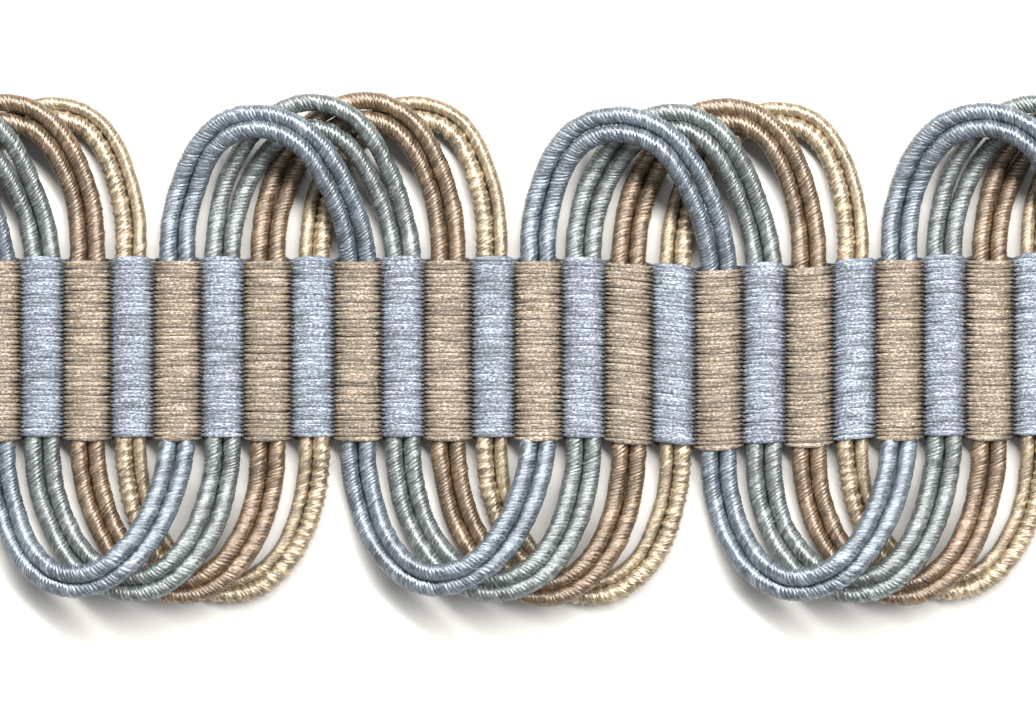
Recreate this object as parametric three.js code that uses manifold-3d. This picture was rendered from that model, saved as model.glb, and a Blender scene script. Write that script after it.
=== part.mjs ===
// Loop gimp braid, a furnishing trimming. Eight gimp cords in four coloured pairs run in a serpentine
// through a narrow woven band, and turn back above and below it in loops that overlap like shingles.
// Millimetres. +X runs along the braid, +Y across it and +Z out of its face. It lies on its back on z = 0.
import * as THREE from 'three';
import { mergeVertices } from 'three/addons/utils/BufferGeometryUtils.js';
import Module from 'manifold-3d';

// Driving dimensions
const columnPitch = 4.4; // from one pair's pass through the band to the next
const columnCount = 32;
const loopColumns = 4; // a pair comes back through the band this many columns further on
const bandWidth = 17.7;
const bandThickness = 3;
const bandStagger = 0.22; // odd and even columns stand this far up and down from the middle
const bandEndMargin = 0.6; // woven ends past the first and the last column
const cordThickness = 1.5;
const cordSides = 8;
const pairGap = 0.36; // between the two cords of a pair
const crossingGap = 0.34; // between cords that lie on each other
const clearance = 0.3; // all round a pair inside the band
const stubLength = 1.6; // a cut cord end that stands out of the band
const loopSteps = 10; // straight stretches along one loop
const acrossShift = 0.13; // brings the origin to the middle of the outline, which the band's bends pull down

// The band wanders a little from its straight line: each row is one soft bend
const bandBends = [
  { middle: 18.5, spread: 6.5, shift: -0.9 },
  { middle: 28.5, spread: 3.5, shift: -0.6 },
  { middle: 42, spread: 3, shift: 0.2 },
  { middle: 51, spread: 3, shift: 0.3 },
];

// A rib of the band, seen along it: place across the rib in half pitches, and depth below its crown
const ribProfile = [
  { across: -0.78, depth: 0.18 },
  { across: -0.5, depth: 0 },
  { across: 0.5, depth: 0 },
  { across: 0.78, depth: 0.18 },
];
const ribValleyDepth = 0.5;

// The pairs in the order in which their loops overlap, the top one first. rise is a loop's height over the
// band's edge and lean the shift of its top to the right. heights gives its height at angles turned along the
// loop, in layers of cord: it starts and ends inside the band, and between those it climbs over the pairs
// below it.
const pairs = [
  {
    name: 'blue', colour: 0x8f9cb3, rise: 13.65, lean: -1.15,
    heights: [
      { turn: 0, layers: 0.4 }, { turn: 20, layers: 0 }, { turn: 30, layers: 0 }, { turn: 60, layers: 1.3 },
      { turn: 80, layers: 2.3 }, { turn: 120, layers: 3.3 }, { turn: 144, layers: 2.3 },
      { turn: 180, layers: 0.4 },
    ],
  },
  {
    name: 'grey', colour: 0x9aa6ab, rise: 13.85, lean: -0.1,
    heights: [
      { turn: 0, layers: 0.4 }, { turn: 20, layers: 0 }, { turn: 36, layers: 0 }, { turn: 60, layers: 0.9 },
      { turn: 85, layers: 2 }, { turn: 120, layers: 2.25 }, { turn: 165, layers: 0 },
      { turn: 180, layers: 0.4 },
    ],
  },
  {
    name: 'brown', colour: 0xa68b77, rise: 14.15, lean: 0.4,
    heights: [
      { turn: 0, layers: 0.4 }, { turn: 20, layers: 0 }, { turn: 36, layers: 0 }, { turn: 72, layers: 1.05 },
      { turn: 126, layers: 1.05 }, { turn: 160, layers: 0 }, { turn: 180, layers: 0.4 },
    ],
  },
  {
    name: 'cream', colour: 0xd0bf9f, rise: 14.05, lean: 0.6,
    heights: [
      { turn: 0, layers: 0.4 }, { turn: 20, layers: 0 }, { turn: 160, layers: 0 }, { turn: 180, layers: 0.4 },
    ],
  },
];

// Sizes that follow
const cordSpacing = cordThickness + pairGap; // between the middles of the two cords of a pair
const layerHeight = cordThickness + crossingGap;
const cordRest = cordThickness / 2; // height of a cord's middle where it lies on the table
const cordInBand = bandThickness / 2;
const bandEdge = bandWidth / 2 + bandStagger; // the outermost edge of any column
const tunnelWidth = cordSpacing + cordThickness + 2 * clearance;
const tunnelHeight = cordThickness + 2 * clearance;
const tunnelChamfer = 0.5;
const tunnelOverrun = 1; // how far the cutting shape reaches past the band's edge
const weldDistance = 1e-4; // corners closer than this are one

const wasm = await Module();
wasm.setup();

const columnX = (column) => (column - (columnCount - 1) / 2) * columnPitch;

// The band's middle line: the sum of its bends, each a bell curve
function bandMiddle(x) {
  let y = 0;
  for (const bend of bandBends) {
    y += bend.shift * Math.exp(-(((x - bend.middle) / bend.spread) ** 2));
  }
  return y;
}

// Layers of cord at a turn in degrees, by straight lines between the rows of the table
function layersAt(heights, turn) {
  const next = Math.max(heights.findIndex((row) => row.turn >= turn), 1);
  const [low, high] = [heights[next - 1], heights[next]];
  return THREE.MathUtils.mapLinear(turn, low.turn, high.turn, low.layers, high.layers);
}

// A point of a pair's middle line, with the direction that points to its left as it runs
function station(x, y, z, directionX, directionY) {
  const length = Math.hypot(directionX, directionY);
  return {
    point: new THREE.Vector3(x, y, z),
    left: new THREE.Vector3(-directionY / length, directionX / length, 0),
  };
}

// One loop from a column to the one four further on: half an ellipse that leans to one side. side is 1 above
// the band and -1 below it. Its feet stand at the band's edge, which wanders, so its base line is drawn
// between the two feet.
function loopStations(pair, column, side) {
  const span = loopColumns * columnPitch;
  const startX = columnX(column);
  const startY = bandMiddle(startX) + side * bandEdge;
  const endY = bandMiddle(startX + span) + side * bandEdge;
  const stations = [];
  for (let step = 0; step <= loopSteps; step++) {
    const degrees = (180 * step) / loopSteps;
    const turn = THREE.MathUtils.degToRad(degrees);
    const along = (1 - Math.cos(turn)) / 2;
    const x = startX + span * along + pair.lean * Math.sin(turn) ** 2;
    const y = THREE.MathUtils.lerp(startY, endY, along) + side * pair.rise * Math.sin(turn);
    const z = cordRest + layersAt(pair.heights, degrees) * layerHeight;
    const directionX = (span / 2) * Math.sin(turn) + pair.lean * Math.sin(2 * turn);
    const directionY = side * pair.rise * Math.cos(turn);
    stations.push(station(x, y, z, directionX, directionY));
  }
  return stations;
}

// A pair's whole run: a cut end below the band, loops above and below it in turn, and a cut end below the
// band again
function pairStations(pair, firstColumn) {
  const lastColumn = firstColumn + columnCount - loopColumns;
  const endStation = (column, direction) => {
    const x = columnX(column);
    return station(x, bandMiddle(x) - bandEdge - stubLength, cordInBand, 0, direction);
  };
  const stations = [endStation(firstColumn, 1)];
  let side = 1;
  for (let column = firstColumn; column < lastColumn; column += loopColumns) {
    stations.push(...loopStations(pair, column, side));
    side = -side;
  }
  stations.push(endStation(lastColumn, -1));
  return stations;
}

// A path for ExtrudeGeometry that steps from station to station, however far apart they lie, and keeps the
// section level
class StationPath extends THREE.Curve {
  constructor(stations, sideways) {
    super();
    this.lefts = stations.map((place) => place.left);
    this.points = stations.map((place) => place.point.clone().addScaledVector(place.left, sideways));
  }

  getPointAt(share, target = new THREE.Vector3()) {
    return target.copy(this.points[Math.round(share * (this.points.length - 1))]);
  }

  computeFrenetFrames() {
    const last = this.points.length - 1;
    const tangents = this.points.map((point, index) => {
      const before = this.points[Math.max(index - 1, 0)];
      const after = this.points[Math.min(index + 1, last)];
      return after.clone().sub(before).normalize();
    });
    const binormals = tangents.map((tangent, index) => tangent.clone().cross(this.lefts[index]).normalize());
    const normals = binormals.map((binormal, index) => binormal.clone().cross(tangents[index]));
    return { tangents, normals, binormals };
  }
}

// A cord's section: eight flats, one of them underneath
function cordSection() {
  const radius = cordThickness / 2 / Math.cos(Math.PI / cordSides);
  const corners = Array.from({ length: cordSides }, (_, corner) => {
    const angle = ((corner + 0.5) * 2 * Math.PI) / cordSides;
    return new THREE.Vector2(radius * Math.cos(angle), radius * Math.sin(angle));
  });
  return new THREE.Shape(corners);
}

function cordGeometry(stations, sideways) {
  const extrudePath = new StationPath(stations, sideways);
  return new THREE.ExtrudeGeometry(cordSection(), { extrudePath, steps: stations.length - 1 });
}

// Closed solids for the cuts
function toSolid(geometry) {
  geometry.deleteAttribute('normal');
  geometry.deleteAttribute('uv');
  const merged = mergeVertices(geometry, weldDistance);
  return new wasm.Manifold(new wasm.Mesh({
    numProp: 3,
    vertProperties: new Float32Array(merged.attributes.position.array),
    triVerts: new Uint32Array(merged.index.array),
  }));
}

function toGeometry(solid) {
  const mesh = solid.getMesh();
  const geometry = new THREE.BufferGeometry();
  geometry.setAttribute('position', new THREE.BufferAttribute(mesh.vertProperties, 3));
  geometry.setIndex(new THREE.BufferAttribute(mesh.triVerts, 1));
  const flatShaded = geometry.toNonIndexed();
  flatShaded.computeVertexNormals();
  return flatShaded;
}

// Extrudes an outline drawn in X and Z along Y, from low to high
function extrudeAlongY(outline, low, high) {
  const geometry = new THREE.ExtrudeGeometry(outline, { depth: high - low, bevelEnabled: false });
  return geometry.rotateX(Math.PI / 2).translate(0, high, 0);
}

// One rib of the band: crowned on both faces, with a flat land along each crown. Its sides meet its
// neighbours' sides in the valleys, and the outermost ribs are squared off a little further out.
function ribSolid(column) {
  const half = columnPitch / 2;
  const x = columnX(column);
  const leftEdge = -half - (column === 0 ? bandEndMargin : 0);
  const rightEdge = half + (column === columnCount - 1 ? bandEndMargin : 0);
  const upper = [
    new THREE.Vector2(x + leftEdge, bandThickness - ribValleyDepth),
    ...ribProfile.map((row) => new THREE.Vector2(x + row.across * half, bandThickness - row.depth)),
    new THREE.Vector2(x + rightEdge, bandThickness - ribValleyDepth),
  ];
  const lower = upper.map((corner) => new THREE.Vector2(corner.x, bandThickness - corner.y));
  const outline = new THREE.Shape([...lower, ...upper.reverse()]);
  const middle = bandMiddle(x) + (column % 2 ? bandStagger : -bandStagger);
  return toSolid(extrudeAlongY(outline, middle - bandWidth / 2, middle + bandWidth / 2));
}

// The way that one pair takes through the band
function tunnelSolid(column) {
  const half = tunnelWidth / 2;
  const low = cordInBand - tunnelHeight / 2;
  const high = cordInBand + tunnelHeight / 2;
  const x = columnX(column);
  const outline = new THREE.Shape([
    new THREE.Vector2(x - half + tunnelChamfer, low),
    new THREE.Vector2(x + half - tunnelChamfer, low),
    new THREE.Vector2(x + half, low + tunnelChamfer),
    new THREE.Vector2(x + half, high - tunnelChamfer),
    new THREE.Vector2(x + half - tunnelChamfer, high),
    new THREE.Vector2(x - half + tunnelChamfer, high),
    new THREE.Vector2(x - half, high - tunnelChamfer),
    new THREE.Vector2(x - half, low + tunnelChamfer),
  ]);
  const reach = bandEdge + tunnelOverrun;
  return toSolid(extrudeAlongY(outline, bandMiddle(x) - reach, bandMiddle(x) + reach));
}

function bandGeometry() {
  const columns = Array.from({ length: columnCount }, (_, column) => column);
  const ribs = columns.map(ribSolid).reduce((joined, rib) => joined.add(rib));
  const tunnels = columns.map(tunnelSolid).reduce((joined, tunnel) => joined.add(tunnel));
  return toGeometry(ribs.subtract(tunnels));
}

function addPiece(parent, name, geometry, colour) {
  const material = new THREE.MeshStandardMaterial({ color: colour, roughness: 0.6, metalness: 0 });
  const mesh = new THREE.Mesh(geometry, material);
  mesh.name = name;
  parent.add(mesh);
}

const braid = new THREE.Group();
braid.position.y = acrossShift;
addPiece(braid, 'woven_band', bandGeometry(), 0xb5a69b);
pairs.forEach((pair, index) => {
  const stations = pairStations(pair, index);
  addPiece(braid, `${pair.name}_cord_1`, cordGeometry(stations, cordSpacing / 2), pair.colour);
  addPiece(braid, `${pair.name}_cord_2`, cordGeometry(stations, -cordSpacing / 2), pair.colour);
});

export default braid;
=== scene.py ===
# Loop gimp braid: eight thread-wound gimp cords in four coloured pairs, woven into a narrow silky band
import math

import bpy
import numpy as np
from mathutils import Matrix, Vector


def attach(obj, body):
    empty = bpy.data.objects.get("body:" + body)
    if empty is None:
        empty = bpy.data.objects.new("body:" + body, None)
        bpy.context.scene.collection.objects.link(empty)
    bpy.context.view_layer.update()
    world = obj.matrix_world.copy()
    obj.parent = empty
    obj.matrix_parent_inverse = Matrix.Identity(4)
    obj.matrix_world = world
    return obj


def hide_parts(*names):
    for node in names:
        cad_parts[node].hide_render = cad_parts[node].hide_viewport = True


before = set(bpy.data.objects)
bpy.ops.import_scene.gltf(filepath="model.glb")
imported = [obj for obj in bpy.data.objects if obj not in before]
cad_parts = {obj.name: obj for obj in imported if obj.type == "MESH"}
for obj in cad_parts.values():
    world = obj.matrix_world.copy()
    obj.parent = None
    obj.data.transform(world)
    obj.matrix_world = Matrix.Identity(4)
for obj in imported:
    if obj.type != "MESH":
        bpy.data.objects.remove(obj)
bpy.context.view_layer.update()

bl_info = {
    "name": "Loop gimp braid",
    "version": (1, 0, 0),
    "blender": (4, 5, 0),
    "location": "View3D > Sidebar > Braid",
    "description": "Builds a furnishing braid with looped gimp cords and a two-coloured woven band",
    "category": "Add Mesh",
}

MM = 0.001

# The braid's plan, with the same values as its solids
COLUMN_PITCH = 4.4 * MM
COLUMN_COUNT = 32
LOOP_COLUMNS = 4
BAND_WIDTH = 17.7 * MM
BAND_MIDDLE_HEIGHT = 1.5 * MM
BAND_STAGGER = 0.22 * MM
STUB_LENGTH = 1.6 * MM
ACROSS_SHIFT = 0.13 * MM
BAND_EDGE = BAND_WIDTH / 2 + BAND_STAGGER

# The band wanders a little from its straight line: each row is one soft bend
BAND_BENDS = (
    dict(middle=18.5 * MM, spread=6.5 * MM, shift=-0.9 * MM),
    dict(middle=28.5 * MM, spread=3.5 * MM, shift=-0.6 * MM),
    dict(middle=42 * MM, spread=3 * MM, shift=0.2 * MM),
    dict(middle=51 * MM, spread=3 * MM, shift=0.3 * MM),
)

# How one cord is wound. Each value is a factor: girth on the cord thickness, beads on the clusters of threads
# that stand out, relief on the depth of the valleys between threads, and knots on the round knots along it
PLAIN_CORD = dict(girth=1, beads=0.3, relief=1, knots=0)
SLIM_CORD = dict(girth=0.97, beads=0.5, relief=1, knots=0)
SMOOTH_CORD = dict(girth=0.78, beads=0.1, relief=0.4, knots=0)
KNOTTED_CORD = dict(girth=0.92, beads=0.8, relief=0.7, knots=1)

# The pairs in the order in which their loops overlap, the top one first, each with its left-hand and its
# right-hand cord, as seen along the way from the left end of the braid. partings opens or closes the gap
# between the two cords in each half turn.
# upper and lower give the loops of the two rows: rise over the band's edge; parting of the two cords at the
# top, and ride, by which the inner cord lies higher than the outer one there; and, at each sixth of the half
# turn, lean, the shift to the right, and swell, the shift away from the band. heights gives layers of cord
# at shares of the half turn.
PAIRS = (
    dict(
        name="blue", slot="blue_gimp", cords=(PLAIN_CORD, PLAIN_CORD),
        partings=(0, 0, 0, 0, 0.15 * MM, 0, 0),
        upper=dict(
            rise=12.95 * MM, parting=-0.2 * MM, ride=0.4 * MM,
            lean=(-0.35 * MM, -0.95 * MM, -1.0 * MM, -0.9 * MM, -0.8 * MM),
            swell=(0, 0.2 * MM, 0, 0.15 * MM, 0),
        ),
        lower=dict(
            rise=13.25 * MM, parting=-0.4 * MM, ride=0.7 * MM,
            lean=(-0.2 * MM, -0.75 * MM, -1.1 * MM, -0.9 * MM, -0.6 * MM),
            swell=(0, 0, 0, 0, 0),
        ),
        heights=dict(
            turn=(0, 0.11, 0.17, 0.33, 0.44, 0.67, 0.8, 1),
            layers=(0.4, 0, 0, 1.3, 2.3, 3.3, 2.3, 0.4),
        ),
    ),
    dict(
        name="grey", slot="grey_gimp", cords=(PLAIN_CORD, PLAIN_CORD),
        partings=(0, 0, 0.4 * MM, 0, -0.5 * MM, 0, 0),
        upper=dict(
            rise=13.45 * MM, parting=0.35 * MM, ride=0,
            lean=(0, -0.05 * MM, -0.1 * MM, -0.4 * MM, -0.8 * MM),
            swell=(0, 0, 0, 0, 0),
        ),
        lower=dict(
            rise=13.9 * MM, parting=-0.25 * MM, ride=0.2 * MM,
            lean=(-0.2 * MM, -0.1 * MM, -0.1 * MM, 0.1 * MM, 0),
            swell=(0, 0, 0, 0.1 * MM, 0),
        ),
        heights=dict(
            turn=(0, 0.11, 0.2, 0.33, 0.47, 0.67, 0.92, 1),
            layers=(0.4, 0, 0, 0.9, 2, 2.25, 0, 0.4),
        ),
    ),
    dict(
        name="brown", slot="brown_gimp", cords=(SLIM_CORD, SLIM_CORD),
        partings=(0, 0, 0, 0, -0.3 * MM, 0, 0),
        upper=dict(
            rise=14.05 * MM, parting=0.1 * MM, ride=0,
            lean=(0.15 * MM, 0.3 * MM, 0.5 * MM, 0.5 * MM, 0.15 * MM),
            swell=(0, 0, 0, 0.3 * MM, 0),
        ),
        lower=dict(
            rise=14.1 * MM, parting=-0.25 * MM, ride=0.2 * MM,
            lean=(0, 0.2 * MM, 0.4 * MM, 0.3 * MM, 0.1 * MM),
            swell=(0, 0, 0, 0, 0),
        ),
        heights=dict(turn=(0, 0.11, 0.2, 0.4, 0.7, 0.89, 1), layers=(0.4, 0, 0, 1.05, 1.05, 0, 0.4)),
    ),
    dict(
        name="cream", slot="cream_gimp", cords=(SMOOTH_CORD, KNOTTED_CORD),
        partings=(0, 0, 0, 0, 0, 0, 0),
        upper=dict(
            rise=14.1 * MM, parting=0, ride=0,
            lean=(0, 0.3 * MM, 0.6 * MM, 0.9 * MM, 0.4 * MM),
            swell=(0, 0, 0, 0.45 * MM, 0),
        ),
        lower=dict(
            rise=14.1 * MM, parting=-0.2 * MM, ride=0.1 * MM,
            lean=(-0.1 * MM, 0.3 * MM, 0.6 * MM, 0.55 * MM, 0.25 * MM),
            swell=(0, 0, 0, 0, 0),
        ),
        heights=dict(turn=(0, 0.11, 0.89, 1), layers=(0.4, 0, 0, 0.4)),
    ),
)
LOOP_SIXTHS = (0, 1 / 6, 2 / 6, 3 / 6, 4 / 6, 5 / 6, 1)


def linear(hex_code):
    """An sRGB hex colour as linear red, green and blue."""
    channels = [int(hex_code[i:i + 2], 16) / 255 for i in (1, 3, 5)]
    return tuple(c / 12.92 if c <= 0.04045 else ((c + 0.055) / 1.055) ** 2.4 for c in channels)


class BRAID_PG_sizes(bpy.types.PropertyGroup):
    """Sizes that a maker of the braid would choose."""

    cord_thickness: bpy.props.FloatProperty(
        name="Cord thickness", description="Across one gimp cord, over its wrapping",
        default=1.78 * MM, min=0.5 * MM, unit="LENGTH", precision=5,
    )
    wrap_pitch: bpy.props.FloatProperty(
        name="Wrap pitch", description="From one wrapping thread to the next along a cord",
        default=0.38 * MM, min=0.1 * MM, unit="LENGTH", precision=5,
    )
    wrap_threads: bpy.props.IntProperty(
        name="Wrap threads", description="Threads that are wound side by side, which sets their slant",
        default=6, min=1, max=12,
    )
    wrap_relief: bpy.props.FloatProperty(
        name="Wrap relief", description="From the crest of a wrapping thread to the valley beside it",
        default=0.085 * MM, min=0, unit="LENGTH", precision=5,
    )
    warp_ends: bpy.props.IntProperty(
        name="Warp ends", description="Lengthwise yarns of each colour in the band",
        default=43, min=8, max=80,
    )


class BRAID_PG_colours(bpy.types.PropertyGroup):
    """Yarn colours."""

    blue: bpy.props.FloatVectorProperty(
        name="Blue gimp", description="Slate blue cord pair", subtype="COLOR", default=linear("#67717b"),
    )
    grey: bpy.props.FloatVectorProperty(
        name="Grey gimp", description="Grey-teal cord pair", subtype="COLOR", default=linear("#68706e"),
    )
    brown: bpy.props.FloatVectorProperty(
        name="Brown gimp", description="Taupe-brown cord pair", subtype="COLOR", default=linear("#6e5942"),
    )
    cream: bpy.props.FloatVectorProperty(
        name="Cream gimp", description="Cream cord pair", subtype="COLOR", default=linear("#8b7b62"),
    )
    taupe_warp: bpy.props.FloatVectorProperty(
        name="Taupe yarn", description="Yarn on the face of every other rib", subtype="COLOR",
        default=linear("#6f6253"),
    )
    blue_warp: bpy.props.FloatVectorProperty(
        name="Pale blue yarn", description="Yarn on the face of the ribs between", subtype="COLOR",
        default=linear("#676e79"),
    )


# Shapes shared by the pieces

WANDER_WAVES = 6


def column_x(column):
    """Middle of a column of the band along X; whole arrays of columns are allowed."""
    return (column - (COLUMN_COUNT - 1) / 2) * COLUMN_PITCH


def band_middle(x):
    """The band's middle line: the sum of its bends, each a bell curve of the place along the braid."""
    bends = (bend["shift"] * np.exp(-((x - bend["middle"]) / bend["spread"]) ** 2) for bend in BAND_BENDS)
    return ACROSS_SHIFT + sum(bends)


def smooth(values, window):
    """Values averaged under a raised cosine that spans window samples; the two end values stay."""
    half = max(int(window) // 2, 1)
    weights = np.hanning(2 * half + 3)[1:-1]
    padded = np.pad(values, half, mode="reflect", reflect_type="odd")
    return np.convolve(padded, weights / weights.sum(), mode="valid")


def wander(along, rng, size, shortest, longest):
    """A slow unevenness along a yarn, mostly within size: the mean of sine waves of random length and
    phase, made larger by the root of their number, because they partly cancel out."""
    lengths = rng.uniform(shortest, longest, WANDER_WAVES)
    phases = rng.uniform(0, 2 * math.pi, WANDER_WAVES)
    waves = np.sin(2 * math.pi * along[..., None] / lengths + phases)
    return size * waves.mean(axis=-1) * math.sqrt(WANDER_WAVES)


def new_piece(name, points, triangles, corner_uv, material, nodes):
    """Puts whole arrays of points, triangles and corner coordinates into a mesh that rides on the braid."""
    mesh = bpy.data.meshes.new(name)
    mesh.vertices.add(len(points))
    mesh.vertices.foreach_set("co", points.astype(np.float32).ravel())
    mesh.loops.add(triangles.size)
    mesh.loops.foreach_set("vertex_index", triangles.astype(np.int32).ravel())
    mesh.polygons.add(len(triangles))
    mesh.polygons.foreach_set("loop_start", np.arange(0, triangles.size, 3, dtype=np.int32))
    mesh.update(calc_edges=True)
    mesh.shade_smooth()
    layer = mesh.uv_layers.new(name="thread")
    layer.uv.foreach_set("vector", corner_uv.astype(np.float32).ravel())
    mesh.validate()
    piece = bpy.data.objects.new(name, mesh)
    bpy.context.scene.collection.objects.link(piece)
    mesh.materials.append(material)
    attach(piece, "root")
    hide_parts(*nodes)
    return piece


# Materials


def add_node(tree, kind, inputs=None, **settings):
    """Adds one node with its settings, and fills or links its inputs."""
    node = tree.nodes.new(kind)
    for name, value in settings.items():
        setattr(node, name, value)
    for name, value in (inputs or {}).items():
        if isinstance(value, bpy.types.NodeSocket):
            tree.links.new(value, node.inputs[name])
        else:
            node.inputs[name].default_value = value
    return node


def new_material(name):
    """An empty node material and its tree."""
    material = bpy.data.materials.new(name)
    material.use_nodes = True
    material.node_tree.nodes.clear()
    return material, material.node_tree


def strand_streaks(tree, uv, scale):
    """Noise for the filaments of a strand, with scale cells in a unit of U and of V."""
    place = add_node(tree, "ShaderNodeMapping", {"Vector": uv, "Scale": (*scale, 1.0)})
    noise = {"Vector": place.outputs[0], "Scale": 1.0, "Detail": 4.0, "Roughness": 0.7}
    return add_node(tree, "ShaderNodeTexNoise", noise, noise_dimensions="2D").outputs["Fac"]


def strand_tone(tree, x, y, scale):
    """A slow noise along a strand, the same all across it, and unlike that of the next strand: one of x and
    y is the strand's whole number and the other the place along it."""
    strand = add_node(tree, "ShaderNodeCombineXYZ", {"X": x, "Y": y})
    place = add_node(tree, "ShaderNodeMapping", {"Vector": strand.outputs[0], "Scale": (*scale, 1.0)})
    noise = {"Vector": place.outputs[0], "Scale": 1.0, "Detail": 1.0}
    return add_node(tree, "ShaderNodeTexNoise", noise, noise_dimensions="2D").outputs["Fac"]


def lustre_ramp(tree, light, colour, steps, dark, gain, lift):
    """The yarn's colour with painted light at three steps: dark times as bright for painted shade, plain, and
    times gain plus lift for a painted highlight where a filament would face the light."""
    ramp = add_node(tree, "ShaderNodeValToRGB", {"Fac": light})
    shaded, lit = ramp.color_ramp.elements
    shaded.position, lit.position = steps[0], steps[2]
    shaded.color = (*[channel * dark for channel in colour], 1)
    lit.color = (*[min(channel * gain + lift, 1) for channel in colour], 1)
    plain = ramp.color_ramp.elements.new(steps[1])
    plain.color = (*colour, 1)
    return ramp.outputs["Color"]


def silky_surface(tree, colour, filaments, bump, sheen):
    """The shader of a silky strand: its filaments stand out a little, and its sheen spreads across them."""
    relief = add_node(tree, "ShaderNodeBump", {"Height": filaments, **bump})
    tangent = add_node(tree, "ShaderNodeTangent", direction_type="UV_MAP", uv_map="thread")
    inputs = {"Base Color": colour, "Normal": relief.outputs[0], "Tangent": tangent.outputs[0], **sheen}
    shader = add_node(tree, "ShaderNodeBsdfPrincipled", inputs)
    add_node(tree, "ShaderNodeOutputMaterial", {"Surface": shader.outputs[0]})


def wound_rayon(name, colour):
    """Viscose rayon thread wound round a cotton core, as gimp cord is made: untwisted filaments lie side by
    side round the cord, so each thread has fine bright streaks along it, which are painted highlights in the
    colour as well as bumps, and the valleys between threads have painted shade besides their real depth. U
    counts threads, each with its crest at a whole number, and V counts turns round the cord."""
    material, tree = new_material(name)
    uv = add_node(tree, "ShaderNodeUVMap", uv_map="thread").outputs["UV"]
    place = add_node(tree, "ShaderNodeSeparateXYZ", {"Vector": uv})
    thread = add_node(tree, "ShaderNodeMath", {0: place.outputs["X"]}, operation="ROUND")
    # X is the bulge, where threads lie high, and Y the depth of the valley between two threads
    form = add_node(tree, "ShaderNodeAttribute", attribute_name="form", attribute_type="GEOMETRY")
    form = add_node(tree, "ShaderNodeSeparateXYZ", {"Vector": form.outputs["Vector"]})
    # Each thread has its own tone, which changes within about half a turn
    tone = strand_tone(tree, thread.outputs[0], place.outputs["Y"], (7.3, 1.7))
    # Streaks a quarter of a thread, 0.1 mm, wide and a tenth of a turn, 0.6 mm, long. Real filaments are a
    # fifth as wide, which is too fine to show
    filaments = strand_streaks(tree, uv, (4.2, 10.0))
    light = add_node(tree, "ShaderNodeMix", {0: 0.22, 2: filaments, 3: tone})
    # Painted highlight: threads that stand out get a little more painted light
    light = add_node(
        tree, "ShaderNodeMath", {0: form.outputs["X"], 1: 0.025, 2: light.outputs[0]},
        operation="MULTIPLY_ADD",
    )
    # Painted shade and painted highlight: the colour darkens and brightens with the light value
    painted_lustre = lustre_ramp(tree, light.outputs[0], colour, (0.4, 0.52, 0.64), dark=0.4, gain=2.1, lift=0.07)
    # Painted shade: the outer half of a thread's width darkens into the valley beside it, more where the
    # valley is deep
    valley = add_node(tree, "ShaderNodeMath", {0: place.outputs["X"], 1: 0.5}, operation="PINGPONG")
    line = add_node(
        tree, "ShaderNodeMapRange",
        {"Value": valley.outputs[0], "From Min": 0.27, "From Max": 0.5, "To Min": 0.0, "To Max": 0.55},
    )
    shade = add_node(
        tree, "ShaderNodeMath", {0: line.outputs[0], 1: form.outputs["Y"]},
        operation="MULTIPLY", use_clamp=True,
    )
    # The colour of the painted shade at the bottom of a deep valley
    dark = (*[channel * 0.25 for channel in colour], 1)
    shaded = add_node(tree, "ShaderNodeMix", {0: shade.outputs[0], 6: painted_lustre, 7: dark}, data_type="RGBA")
    bump = {"Strength": 0.35, "Distance": 0.08 * MM}
    sheen = {
        "Metallic": 0.45, "Roughness": 0.4, "IOR": 1.7, "Specular IOR Level": 1.0,
        "Anisotropic": 0.85, "Anisotropic Rotation": 0.98,
    }
    silky_surface(tree, shaded.outputs[2], filaments, bump, sheen)
    return material


def floss_yarn(name, colour):
    """Softly twisted rayon floss, woven as the band's warp: its filaments run lengthwise and spread where the
    yarn floats over a rib, and short bright flecks along them are painted highlights in the colour as well as
    bumps. U is in millimetres along the yarn, and V is the yarn's number plus the share of a turn round it."""
    material, tree = new_material(name)
    uv = add_node(tree, "ShaderNodeUVMap", uv_map="thread").outputs["UV"]
    place = add_node(tree, "ShaderNodeSeparateXYZ", {"Vector": uv})
    end = add_node(tree, "ShaderNodeMath", {0: place.outputs["Y"]}, operation="FLOOR")
    # Flecks about 0.3 mm long and a twelfth of the way round a yarn: the real filaments are too fine to show
    flecks = strand_streaks(tree, uv, (3.2, 13.0))
    # Each yarn has its own painted sheen, which changes over about 3 mm, because its filaments lie
    # differently on each float
    tone = strand_tone(tree, place.outputs["X"], end.outputs[0], (0.3, 7.3))
    light = add_node(tree, "ShaderNodeMix", {0: 0.2, 2: flecks, 3: tone})
    # Painted shade and painted highlight: the colour darkens and brightens with the flecks and the tone
    painted_lustre = lustre_ramp(tree, light.outputs[0], colour, (0.4, 0.52, 0.65), dark=0.36, gain=2.4, lift=0.09)
    bump = {"Strength": 0.8, "Distance": 0.06 * MM}
    sheen = {
        "Metallic": 0.4, "Roughness": 0.45, "IOR": 1.55, "Specular IOR Level": 0.7,
        "Anisotropic": 0.6, "Anisotropic Rotation": 0.25,
    }
    silky_surface(tree, painted_lustre, flecks, bump, sheen)
    return material


def matt_paper(name):
    """Matt white card under the braid: no gloss, and a faint mottle of about 2.5 mm."""
    material, tree = new_material(name)
    coords = add_node(tree, "ShaderNodeTexCoord")
    mottle = add_node(tree, "ShaderNodeTexNoise", {"Vector": coords.outputs["Object"], "Scale": 400.0})
    ramp = add_node(tree, "ShaderNodeValToRGB", {"Fac": mottle.outputs["Fac"]})
    ramp.color_ramp.elements[0].color = (*linear("#c4c2be"), 1)
    ramp.color_ramp.elements[1].color = (*linear("#cac8c4"), 1)
    shader = add_node(
        tree, "ShaderNodeBsdfPrincipled",
        {"Base Color": ramp.outputs["Color"], "Roughness": 0.9, "Specular IOR Level": 0.1},
    )
    add_node(tree, "ShaderNodeOutputMaterial", {"Surface": shader.outputs[0]})
    return material


# Gimp cords

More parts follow.
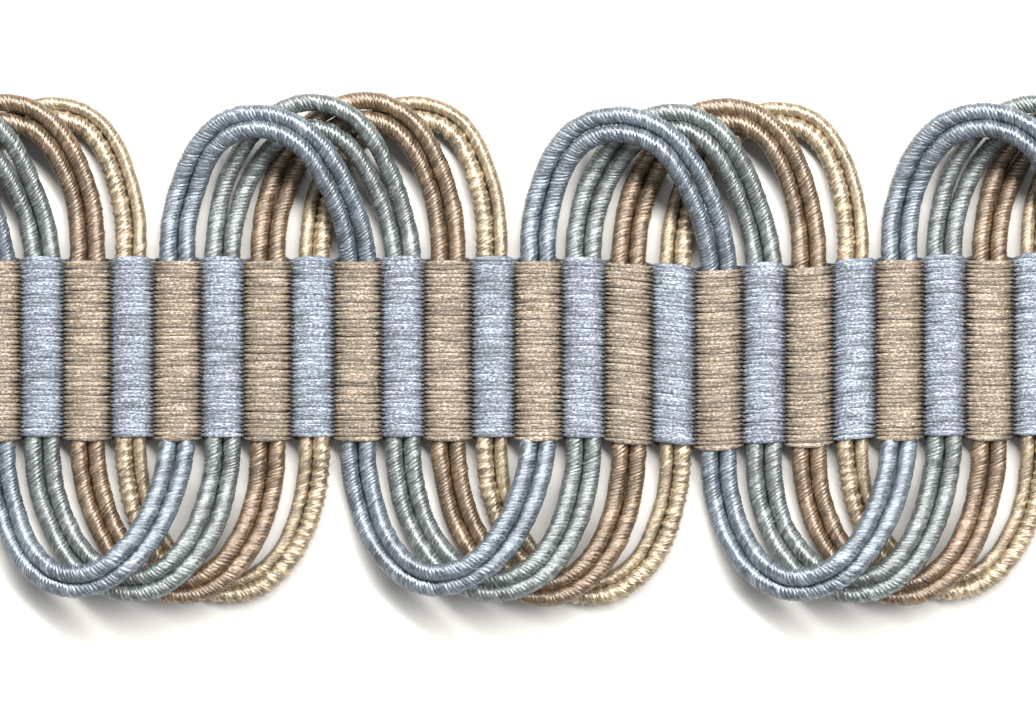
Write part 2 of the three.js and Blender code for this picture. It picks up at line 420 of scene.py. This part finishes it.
# The points of one half turn, and how many of them its lean and swell are eased over
TURN_POINTS = 121
SHIFT_EASING = 24
LINE_STEP = 0.12 * MM
PAIR_GAP = 0.02 * MM
LAYER_HEIGHT = 1.84 * MM
LOOP_UNEVENNESS = 0.12 * MM
PARTING_UNEVENNESS = 0.08 * MM
HEIGHT_EASING = 4.2 * MM
FLOOR_GAP = 0.1 * MM
# A cord is held in the band, and this far outside it lies as freely as anywhere
LOOSE_EASING = 3 * MM
CORD_ASIDE = dict(size=0.03 * MM, shortest=6 * MM, longest=16 * MM)
CORD_RISE = dict(size=0.02 * MM, shortest=5 * MM, longest=14 * MM)
# A pair's seed is this plus its first column, and a cord's is this times that column plus its number
PAIR_SEED = 100
CORD_SEED = 10

# The grid of the wrapping, whose rows lie further apart inside the band, where nothing shows
ROWS_PER_THREAD = 4
CORD_SIDES = 12
HIDDEN_STRETCH = 7.0
HIDDEN_DEPTH = 1.2 * MM
PITCH_WANDER = dict(size=0.12, shortest=2 * MM, longest=9 * MM)
# The random relief of the wrapping: single threads, and clusters of three, whose weighted sum counts by
# CLUSTER_SUM and, in a hollow, by HOLLOW_CLUSTERS; valleys, as shares of the wrap relief, and how many rows
# they stray; and knots, whose rhythm wanders by radians
STATIONS_PER_TURN = 3
NOISE_LIMIT = 2
THREAD_SIZES = 0.016 * MM
CLUSTER_SIZES = 0.03 * MM
CLUSTER_SUM = 0.6
HOLLOW_CLUSTERS = 0.3
VALLEY_MEAN = 0.8
VALLEY_SPREAD = 0.45
VALLEY_RANGE = (0.1, 1.7)
VALLEY_STRAY = 0.5
KNOT_PITCH = 0.92 * MM
KNOT_SIZE = 0.14 * MM
KNOT_WANDER = dict(size=2.0, shortest=4 * MM, longest=16 * MM)


def cut_end(column):
    """The row of a pair's cut end, which lies a little below the band."""
    x = column_x(column)
    return [[x, band_middle(x) - BAND_EDGE - STUB_LENGTH, BAND_MIDDLE_HEIGHT, 0, 0]]


def half_turn(pair, number, column, rest, rng):
    """One loop of a pair, above the band if its number is even and else below it: half an ellipse from a
    column to the pair's next one, shifted by the lean and the swell, and a little unlike the other loops.
    rest is the height of a cord that lies on the floor. Gives rows of x, y, z, parting and ride."""
    side = 1 if number % 2 == 0 else -1
    loop = pair["upper"] if side > 0 else pair["lower"]
    unlike = rng.uniform(-1, 1, 4)
    rise = loop["rise"] + unlike[0] * LOOP_UNEVENNESS
    parting = loop["parting"] + pair["partings"][number] + unlike[1] * PARTING_UNEVENNESS
    lean = np.array(loop["lean"]) + unlike[2] * LOOP_UNEVENNESS
    swell = np.array(loop["swell"]) + unlike[3] * LOOP_UNEVENNESS
    turn = np.linspace(0, 1, TURN_POINTS)
    shift_x, shift_y = (
        smooth(np.interp(turn, LOOP_SIXTHS, (0, *shift, 0)), SHIFT_EASING) for shift in (lean, swell)
    )
    angle = np.pi * turn
    along = (1 - np.cos(angle)) / 2
    crest = np.sin(angle) ** 2
    span = LOOP_COLUMNS * COLUMN_PITCH
    start_x = column_x(column)
    start_y, end_y = (band_middle(start_x + share * span) + side * BAND_EDGE for share in (0, 1))
    x = start_x + span * along + shift_x
    y = start_y + (end_y - start_y) * along + side * (rise * np.sin(angle) + shift_y)
    z = rest + LAYER_HEIGHT * np.interp(turn, pair["heights"]["turn"], pair["heights"]["layers"])
    z[[0, -1]] = BAND_MIDDLE_HEIGHT
    # The outer cord of an upper loop is the left-hand one, and of a lower loop the right-hand one
    return np.stack([x, y, z, parting * crest, -side * loop["ride"] * crest], axis=1)


def pair_line(pair, first_column, thickness):
    """Middle line of a pair from one cut end to the other, in even short steps: straight through the band in
    each of its columns, and a half turn between them. Gives rows of x, y, z, parting and ride, the left-hand
    directions, and the depth inside the band, which is below nought outside it."""
    rng = np.random.default_rng(PAIR_SEED + first_column)
    last_column = first_column + COLUMN_COUNT - LOOP_COLUMNS
    turns = [
        half_turn(pair, number, column, thickness / 2, rng)
        for number, column in enumerate(range(first_column, last_column, LOOP_COLUMNS))
    ]
    rows = np.concatenate([cut_end(first_column), *turns, cut_end(last_column)])
    length = np.concatenate([[0], np.cumsum(np.linalg.norm(np.diff(rows[:, :2], axis=0), axis=1))])
    even = np.linspace(0, length[-1], int(length[-1] / LINE_STEP))
    line = np.stack([np.interp(even, length, values) for values in rows.T], axis=1)
    line[:, 2] = smooth(line[:, 2], HEIGHT_EASING / LINE_STEP)
    direction = np.gradient(line[:, :2], axis=0)
    direction /= np.linalg.norm(direction, axis=1, keepdims=True)
    left = np.stack([-direction[:, 1], direction[:, 0], np.zeros(len(line))], axis=1)
    inside = BAND_EDGE - np.abs(line[:, 1] - band_middle(line[:, 0]))
    return line, left, inside


def cord_line(pair, number, first_column, thickness, rng):
    """One cord of a pair, 1 for the left-hand or 2 for the right-hand one: the pair's line moved to its side
    by half its own girth, the gap and the parting, and the inner cord of a loop raised by the loop's ride. A
    thin cord lies lower. Gives its points, their depth inside the band, and the girth."""
    line, left, inside = pair_line(pair, first_column, thickness)
    cord = pair["cords"][number - 1]
    sign = 1 if number == 1 else -1
    girth = thickness * cord["girth"]
    along = np.arange(len(line)) * LINE_STEP
    loose = np.clip(-inside / LOOSE_EASING, 0, 1)
    aside = sign * (girth + PAIR_GAP + line[:, 3]) / 2 + loose * wander(along, rng, **CORD_ASIDE)
    points = line[:, :3] + left * aside[:, None]
    points[:, 2] += np.maximum(sign * line[:, 4], 0) + loose * wander(along, rng, **CORD_RISE)
    points[:, 2] -= loose * (thickness - girth) / 2
    points[:, 2] = np.maximum(points[:, 2], girth / 2 + FLOOR_GAP + cord["knots"] * KNOT_SIZE)
    return points, inside, girth


def thread_noise(rng, laps, threads):
    """Random values along each wrapping thread, a few to a turn and joined by straight lines, as a function
    of the thread's number and the share of a turn. Each turn raises a thread's number by threads."""
    stations = laps * STATIONS_PER_TURN + 2
    table = np.clip(rng.normal(0, 1, (threads, stations)), -NOISE_LIMIT, NOISE_LIMIT)

    def value(thread, turn):
        """The value on threads of these numbers at these shares of a turn."""
        place = (thread // threads + turn) * STATIONS_PER_TURN
        before = np.floor(place).astype(int)
        share = place - before
        strand = thread % threads
        return table[strand, before] * (1 - share) + table[strand, before + 1] * share

    return value


def rows_up_to(along, inside, pitch, rng):
    """How many rows of points there are up to each place along a cord. Their step is a share of the wrap
    pitch, which wanders, and it is longer inside the band, where nothing shows."""
    hidden = np.clip(inside / HIDDEN_DEPTH, 0, 1)
    step = pitch / ROWS_PER_THREAD * (1 + (HIDDEN_STRETCH - 1) * hidden ** 2)
    step = step * (1 + wander(along, rng, **PITCH_WANDER))
    return np.concatenate([[0], np.cumsum(np.diff(along) * 2 / (step[1:] + step[:-1]))])


def wrapping_form(row_numbers, turn, threads, cord, rng):
    """The unevenness of the wrapping at each row and share of a turn: bulge, the random sizes of single
    threads and of clusters of three; depth, of the valley at a thread's edge; and stray, the rows by which a
    valley lies aside, so that no two threads are equally wide."""
    # Thread numbers start a lap up, so that none is below nought
    thread_place = (row_numbers[:, None] + ROWS_PER_THREAD / 2) / ROWS_PER_THREAD + 2 * threads
    thread = np.floor(thread_place).astype(int)
    share = thread_place - thread
    laps = int(thread[-1, 0]) // threads + 3
    size_of, depth_of, stray_of = (thread_noise(rng, laps, threads) for _ in range(3))
    size = size_of(thread, turn)
    cluster = (size_of(thread - 1, turn) + 2 * size + size_of(thread + 1, turn)) * CLUSTER_SUM
    cluster = cluster * np.where(cluster > 0, cord["beads"], HOLLOW_CLUSTERS)
    bulge = size * THREAD_SIZES + cluster * CLUSTER_SIZES
    depth = depth_of(thread - 1, turn) * (1 - share) + depth_of(thread, turn) * share
    depth = np.clip(VALLEY_MEAN + VALLEY_SPREAD * depth, *VALLEY_RANGE) * cord["relief"]
    stray = stray_of(thread - 1, turn) * (1 - share) + stray_of(thread, turn) * share
    return bulge, depth, VALLEY_STRAY * stray


def cord_axes(points, along, place):
    """The cord's middle at places along it, and the directions to its side and up, square to the cord."""
    middle, tangent = (
        np.stack([np.interp(place, along, values) for values in rows.T], axis=-1)
        for rows in (points, np.gradient(points, axis=0))
    )
    tangent /= np.linalg.norm(tangent, axis=-1, keepdims=True)
    side = np.cross([0, 0, 1], tangent)
    side /= np.linalg.norm(side, axis=-1, keepdims=True)
    return middle, side, np.cross(tangent, side)


def slanted_skin(row_numbers, rows, climb):
    """Triangles of a grid whose rows climb by climb rows in one turn, and the thread and turn at their
    corners. Rows past a flat end are drawn in to it, column by column, and triangles that this leaves
    without area are dropped. Each end is closed by a fan round one of two middle points, which are numbered
    after the grid's points."""
    columns = np.arange(CORD_SIDES)
    turn = columns / CORD_SIDES
    lowest = np.floor(-climb * turn).astype(int)
    highest = np.ceil(rows - climb * turn).astype(int)

    def index(shift, column):
        """Point numbers of columns, moved by shift rows. After the last column comes the first, a turn on."""
        wrapped = column % CORD_SIDES
        number = row_numbers[:-1, None] + shift + np.where(column == CORD_SIDES, climb, 0)
        return (np.clip(number, lowest[wrapped], highest[wrapped]) + climb) * CORD_SIDES + wrapped

    a, b = index(0, columns), index(0, columns + 1)
    d, c = index(1, columns), index(1, columns + 1)
    triangles = np.concatenate([
        np.stack([a, b, c], -1).reshape(-1, 3),
        np.stack([a, c, d], -1).reshape(-1, 3),
    ])
    row = np.broadcast_to(row_numbers[:-1, None], a.shape)
    lap = np.floor((row + ROWS_PER_THREAD / 2) / climb)
    low = (row - lap * climb) / ROWS_PER_THREAD
    high = low + 1 / ROWS_PER_THREAD
    near = lap + turn
    far = near + 1 / CORD_SIDES
    corner_uv = np.concatenate([
        np.stack([np.stack([low, low, high], -1), np.stack([near, far, far], -1)], -1).reshape(-1, 3, 2),
        np.stack([np.stack([low, high, high], -1), np.stack([near, far, near], -1)], -1).reshape(-1, 3, 2),
    ])
    keep = (triangles != np.roll(triangles, 1, axis=1)).all(axis=1)
    first_ring = (lowest + climb) * CORD_SIDES + columns
    last_ring = (highest + climb) * CORD_SIDES + columns
    count = len(row_numbers) * CORD_SIDES
    caps = np.concatenate([
        np.stack([np.roll(first_ring, -1), first_ring, np.full(CORD_SIDES, count)], -1),
        np.stack([last_ring, np.roll(last_ring, -1), np.full(CORD_SIDES, count + 1)], -1),
    ])
    triangles = np.concatenate([triangles[keep], caps])
    return triangles, np.concatenate([corner_uv[keep], np.zeros((len(caps), 3, 2))])


def wound_cord(pair, number, first_column, sizes, material):
    """A round cord with its wrapping in relief. Rows of points run round the cord on the slant of the
    threads, so a row climbs by as many rows as its threads take in one turn and meets itself there: the
    place along the cord is a smooth rising function of row + climb * turn. The radius is the cord's, plus
    the bulge, less a valley at each thread's edge, whose profile is a squared raised cosine, plus a swelling
    at each knot of a knotted cord."""
    rng = np.random.default_rng(CORD_SEED * first_column + number)
    cord = pair["cords"][number - 1]
    points, inside, girth = cord_line(pair, number, first_column, sizes.cord_thickness, rng)
    along = np.concatenate([[0], np.cumsum(np.linalg.norm(np.diff(points, axis=0), axis=1))])
    row_at = rows_up_to(along, inside, sizes.wrap_pitch, rng)
    rows = int(row_at[-1])
    climb = sizes.wrap_threads * ROWS_PER_THREAD
    row_numbers = np.arange(-climb, rows + 1)
    turn = np.arange(CORD_SIDES) / CORD_SIDES
    bulge, depth, stray = wrapping_form(row_numbers, turn, sizes.wrap_threads, cord, rng)
    row = np.clip(row_numbers[:, None] + climb * turn + stray, 0, rows)
    place = np.interp(row, row_at, along)
    if cord["knots"]:
        knot_phase = 2 * np.pi * place / KNOT_PITCH + wander(place, rng, **KNOT_WANDER)
        bulge = bulge + cord["knots"] * KNOT_SIZE * np.clip(np.sin(knot_phase), 0, 1) ** 2
    valley = (1 - np.cos(2 * np.pi * row_numbers / ROWS_PER_THREAD)) ** 2 / 4
    radius = girth / 2 + bulge - valley[:, None] * depth * sizes.wrap_relief
    middle, side, up = cord_axes(points, along, place)
    angle = 2 * np.pi * turn[:, None]
    grid = middle + radius[..., None] * (np.cos(angle) * side + np.sin(angle) * up)
    vertices = np.concatenate([grid.reshape(-1, 3), points[[0, -1]]])
    form = np.stack([bulge / CLUSTER_SIZES, depth, np.zeros_like(depth)], -1).reshape(-1, 3)
    form = np.concatenate([form, np.zeros((2, 3))])
    triangles, corner_uv = slanted_skin(row_numbers, rows, climb)
    used, triangles = np.unique(triangles, return_inverse=True)
    piece = new_piece(
        f"{pair['name']}_gimp_{number}", vertices[used], triangles.reshape(-1, 3), corner_uv, material,
        [f"{pair['name']}_cord_{number}"],
    )
    form_data = piece.data.attributes.new("form", "FLOAT_VECTOR", "POINT")
    form_data.data.foreach_set("vector", form[used].astype(np.float32).ravel())


class BRAID_OT_gimp_cords(bpy.types.Operator):
    """Make the eight wound gimp cords along their serpentine"""

    bl_idname = "braid.gimp_cords"
    bl_label = "Gimp cords"

    def execute(self, context):
        sizes, colours = context.scene.braid_sizes, context.scene.braid_colours
        for column, pair in enumerate(PAIRS):
            material = wound_rayon(f"Wound rayon gimp, {pair['name']}", getattr(colours, pair["name"]))
            for number in (1, 2):
                wound_cord(pair, number, column, sizes, material)
        return {"FINISHED"}


# Warp yarns of the band

# A yarn's section is given in half widths and half heights, on a float and where it dives. FLOAT_WIDTHS are
# in pitches, for taupe and for blue, and WIDENING is the power of the lift by which the section widens
YARN_SIDES = 8
YARN_FLAT = 0.085 * MM
YARN_ROUND = 0.15 * MM
YARN_CROSSING_WIDTH = 0.085 * MM
FLOAT_WIDTHS = (0.76, 0.84)
WIDENING = 2.2
FLOAT_HEIGHT = 1.03 * MM
FLOAT_STATIONS = np.radians((0, 16, 40, 72, 108, 140, 164))
FLOAT_SQUARENESS = 2.5
WIDER_TAUPE = 0.12 * MM
FRINGE = 1.1 * MM
FRINGE_UNEVENNESS = 0.5 * MM
# The yarns of a colour spread over the band's width less its stagger, and this much more
SPREAD_OVER = 0.2 * MM
# In pitches: how far the two colours lie to either side where they cross, how much further on a float, and
# how far the taupe yarns lie together in twos
CROSSING_SHIFT = 0.25
FLOAT_SHIFT = 0.27
TAUPE_TWOS = 0.05
# Random unevenness of a yarn, from float to float and from station to station
FLOAT_STRAY = 0.025 * MM
STATION_STRAY = 0.028 * MM
FLOAT_LIFTS = 0.013 * MM
STATION_LIFTS = 0.012 * MM
FLOAT_WIDTH_CHANGE = 0.05
STATION_WIDTH_CHANGE = 0.12
# A turn round a yarn takes this span of V from this start, so that V never crosses a whole number in it
V_START = 0.05
V_SPAN = 0.9
TAUPE_SEED = 71
BLUE_SEED = 72


def yarn_path(on_face):
    """The stations of a yarn from end to end: x; lift, which is 0 between two columns and 1 on top of a
    float; face, which is 1 on the band's face and -1 on its back; and the column. Each float is half a
    superellipse."""
    column = np.repeat(np.arange(COLUMN_COUNT), len(FLOAT_STATIONS))
    angle = np.tile(FLOAT_STATIONS, COLUMN_COUNT)
    power = 2 / FLOAT_SQUARENESS
    half = COLUMN_PITCH / 2 + np.where(column % 2 == 0, WIDER_TAUPE, -WIDER_TAUPE)
    x = column_x(column) - half * np.sign(np.cos(angle)) * np.abs(np.cos(angle)) ** power
    first, last = column_x(0), column_x(COLUMN_COUNT - 1)
    tips = (first - COLUMN_PITCH / 2 - FRINGE, last + COLUMN_PITCH / 2 + FRINGE)
    x = np.concatenate([tips[:1], x, [last + half[-1]], tips[1:]])
    lift = np.pad(np.sin(angle) ** power, (1, 2))
    column = np.pad(column, (1, 2), mode="edge")
    face = np.where(column % 2 == on_face, 1.0, -1.0)
    return x, lift, face, column


def yarn_skin(length):
    """Triangles of closed tubes side by side, one for each row of length, which is in millimetres at its
    stations, and their corners' U and V. A cut end is a fan of the yarn's own section."""
    count, stations = length.shape
    number = np.arange(count * stations * YARN_SIDES).reshape(count, stations, YARN_SIDES)
    following = np.roll(number, -1, axis=2)
    a, b = number[:, :-1], following[:, :-1]
    d, c = number[:, 1:], following[:, 1:]
    fan = np.arange(1, YARN_SIDES - 1)
    fan = np.stack([np.zeros_like(fan), fan, fan + 1], -1)
    triangles = np.concatenate([
        np.stack([a, c, b], -1).reshape(-1, 3),
        np.stack([a, d, c], -1).reshape(-1, 3),
        number[:, 0][:, fan].reshape(-1, 3),
        number[:, -1][:, fan[:, ::-1]].reshape(-1, 3),
    ])
    turn = V_START + V_SPAN * np.arange(YARN_SIDES) / YARN_SIDES
    near = np.broadcast_to(turn, a.shape) + np.arange(count)[:, None, None]
    far = near + V_SPAN / YARN_SIDES
    here = np.broadcast_to(length[:, :-1, None], near.shape)
    there = np.broadcast_to(length[:, 1:, None], near.shape)
    corner_uv = np.concatenate([
        np.stack([np.stack([here, there, here], -1), np.stack([near, far, far], -1)], -1).reshape(-1, 3, 2),
        np.stack([np.stack([here, there, there], -1), np.stack([near, near, far], -1)], -1).reshape(-1, 3, 2),
        np.zeros((2 * count * len(fan), 3, 2)),
    ])
    return triangles, corner_uv


def warp_yarns(name, on_face, seed, sizes, material):
    """All the yarns of one colour. A yarn goes over a pair of cords in one column and under the next pair,
    along a rounded square wave. Its section is an ellipse, wide and flat on a float and narrow and tall
    where it dives between two columns. on_face is 0 for yarns that lie on the face in even columns, and 1
    for odd ones."""
    rng = np.random.default_rng(seed)
    count = sizes.warp_ends
    pitch = (BAND_WIDTH - 2 * BAND_STAGGER + SPREAD_OVER) / count
    x, lift, face, column = yarn_path(on_face)
    x = np.tile(x, (count, 1))
    x[:, 0] -= rng.uniform(0, FRINGE_UNEVENNESS, count)
    x[:, -1] += rng.uniform(0, FRINGE_UNEVENNESS, count)
    end = np.arange(count)[:, None]
    shift = (1 if on_face else -1) * pitch * (CROSSING_SHIFT + FLOAT_SHIFT * lift)
    twos = np.where(end % 2 == 0, -1, 1) * (0 if on_face else TAUPE_TWOS) * pitch
    loose = rng.normal(0, 1, (count, COLUMN_COUNT))[:, column] * lift
    y = band_middle(x) + ((count - 1) / 2 - end) * pitch + shift
    y = y + (twos + rng.normal(0, STATION_STRAY, x.shape)) * lift + loose * FLOAT_STRAY
    high = rng.normal(0, 1, (count, COLUMN_COUNT))[:, column] * lift * FLOAT_LIFTS
    high = high + lift * np.clip(rng.normal(0, STATION_LIFTS, x.shape), -2 * STATION_LIFTS, 2 * STATION_LIFTS)
    z = BAND_MIDDLE_HEIGHT + face * (FLOAT_HEIGHT * lift + high)
    line = np.stack([x, y, z], axis=-1)
    tangent = np.gradient(line, axis=1)
    tangent[..., 1] = 0
    tangent /= np.linalg.norm(tangent, axis=-1, keepdims=True)
    across = np.array([0.0, 1.0, 0.0])
    upward = np.cross(tangent, across)
    wide = YARN_CROSSING_WIDTH + (pitch * FLOAT_WIDTHS[on_face] - YARN_CROSSING_WIDTH) * lift ** WIDENING
    change = STATION_WIDTH_CHANGE * rng.normal(0, 1, x.shape) * lift
    wide = wide * (1 + FLOAT_WIDTH_CHANGE * loose + change)
    thick = YARN_ROUND + (YARN_FLAT - YARN_ROUND) * lift
    angle = 2 * np.pi * np.arange(YARN_SIDES)[:, None] / YARN_SIDES
    grid = (
        line[:, :, None]
        + wide[:, :, None, None] * np.cos(angle) * across
        + thick[:, None, None] * np.sin(angle) * upward[:, :, None]
    )
    steps = np.linalg.norm(np.diff(line, axis=1, prepend=line[:, :1]), axis=-1)
    triangles, corner_uv = yarn_skin(np.cumsum(steps, axis=1) / MM)
    return new_piece(name, grid.reshape(-1, 3), triangles, corner_uv, material, ["woven_band"])


class BRAID_OT_woven_band(bpy.types.Operator):
    """Make the band's lengthwise yarns, taupe and pale blue, over and under the cord pairs"""

    bl_idname = "braid.woven_band"
    bl_label = "Woven band"

    def execute(self, context):
        sizes, colours = context.scene.braid_sizes, context.scene.braid_colours
        taupe_floss = floss_yarn("Rayon floss, taupe", colours.taupe_warp)
        blue_floss = floss_yarn("Rayon floss, pale blue", colours.blue_warp)
        taupe = warp_yarns("taupe_warp", 0, TAUPE_SEED, sizes, taupe_floss)
        blue = warp_yarns("pale_blue_warp", 1, BLUE_SEED, sizes, blue_floss)
        return {"FINISHED"}


# Stage: camera, floor and lights

PHOTO_WIDTH_PX = 1036
BRAID_HEIGHT_PX = 513
BRAID_HEIGHT = 50 * MM
PIXEL = BRAID_HEIGHT / BRAID_HEIGHT_PX
VIEW_MIDDLE = (0.22 * MM, -0.75 * MM)
VIEW_PLANE = 2 * MM
CAMERA_HEIGHT = 560 * MM
CAMERA_RANGE = (10 * MM, 10.0)
SENSOR_WIDTH = 36.0
FLOOR_CORNERS = [(-2, -2, 0), (2, -2, 0), (2, 2, 0), (-2, 2, 0)]
SKY_COLOUR = (0.96, 0.98, 1.0)
SKY_STRENGTH = 0.3
# A long light bar that runs from the upper left to the lower right. It is narrow across cords that run that
# way, which get one sharp bright line, and long across cords that cross it, which get a broad sheen
LIGHT_BAR = dict(
    place=(0.05, 0.38, 0.6), size=(1.9, 0.16), along=(-1, 0.9, 0), watts=28.0, colour=(1.0, 0.99, 0.97),
)
FILL = dict(place=(-0.5, -0.5, 0.7), size=(0.5, 0.5), along=(1, 0, 0), watts=1.2, colour=SKY_COLOUR)


def soft_light(name, place, size, along, watts, colour):
    """An area light that faces the braid's middle, with its long side as near as it goes to along."""
    light = bpy.data.lights.new(name, "AREA")
    light.shape = "RECTANGLE"
    light.size, light.size_y = size
    light.energy = watts
    light.color = colour
    obj = bpy.data.objects.new(name, light)
    bpy.context.scene.collection.objects.link(obj)
    back = Vector(place).normalized()
    right = Vector(along) - back * back.dot(Vector(along))
    right.normalize()
    turned = Matrix((right, back.cross(right), back)).transposed().to_4x4()
    obj.matrix_world = Matrix.Translation(place) @ turned


class BRAID_OT_stage(bpy.types.Operator):
    """Make the camera straight above, the pale floor and the studio lights"""

    bl_idname = "braid.stage"
    bl_label = "Stage"

    def execute(self, context):
        scene = context.scene
        camera = bpy.data.objects.new("camera", bpy.data.cameras.new("camera"))
        scene.collection.objects.link(camera)
        camera.location = (*VIEW_MIDDLE, VIEW_PLANE + CAMERA_HEIGHT)
        camera.data.sensor_width = SENSOR_WIDTH
        camera.data.lens = SENSOR_WIDTH * CAMERA_HEIGHT / (PHOTO_WIDTH_PX * PIXEL)
        camera.data.clip_start, camera.data.clip_end = CAMERA_RANGE
        scene.camera = camera
        floor_mesh = bpy.data.meshes.new("floor")
        floor_mesh.from_pydata(FLOOR_CORNERS, [], [(0, 1, 2, 3)])
        floor_mesh.materials.append(matt_paper("Matt white card"))
        floor = bpy.data.objects.new("floor", floor_mesh)
        scene.collection.objects.link(floor)
        soft_light("light bar", **LIGHT_BAR)
        soft_light("fill", **FILL)
        world = bpy.data.worlds.new("studio")
        world.use_nodes = True
        sky = world.node_tree.nodes["Background"]
        sky.inputs["Color"].default_value = (*SKY_COLOUR, 1)
        sky.inputs["Strength"].default_value = SKY_STRENGTH
        scene.world = world
        scene.view_settings.view_transform = "Standard"
        return {"FINISHED"}


class BRAID_PT_panel(bpy.types.Panel):
    """Lists the braid's pieces and the sizes and colours they are made with"""

    bl_idname = "BRAID_PT_panel"
    bl_label = "Loop gimp braid"
    bl_space_type = "VIEW_3D"
    bl_region_type = "UI"
    bl_category = "Braid"

    def draw(self, context):
        for group in (context.scene.braid_sizes, context.scene.braid_colours):
            for name in group.__annotations__:
                self.layout.prop(group, name)
        for operator in OPERATORS:
            self.layout.operator(operator.bl_idname)


OPERATORS = (BRAID_OT_stage, BRAID_OT_gimp_cords, BRAID_OT_woven_band)
CLASSES = (BRAID_PG_sizes, BRAID_PG_colours, *OPERATORS, BRAID_PT_panel)


def register():
    """Add the classes, and give each scene its sizes and colours."""
    for cls in CLASSES:
        bpy.utils.register_class(cls)
    bpy.types.Scene.braid_sizes = bpy.props.PointerProperty(type=BRAID_PG_sizes)
    bpy.types.Scene.braid_colours = bpy.props.PointerProperty(type=BRAID_PG_colours)


def unregister():
    """Take away all that register adds."""
    del bpy.types.Scene.braid_sizes
    del bpy.types.Scene.braid_colours
    for cls in reversed(CLASSES):
        bpy.utils.unregister_class(cls)


def main():
    """Register the add-on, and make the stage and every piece."""
    register()
    bpy.ops.braid.stage()
    bpy.ops.braid.gimp_cords()
    bpy.ops.braid.woven_band()


if __name__ == "__main__":
    main()
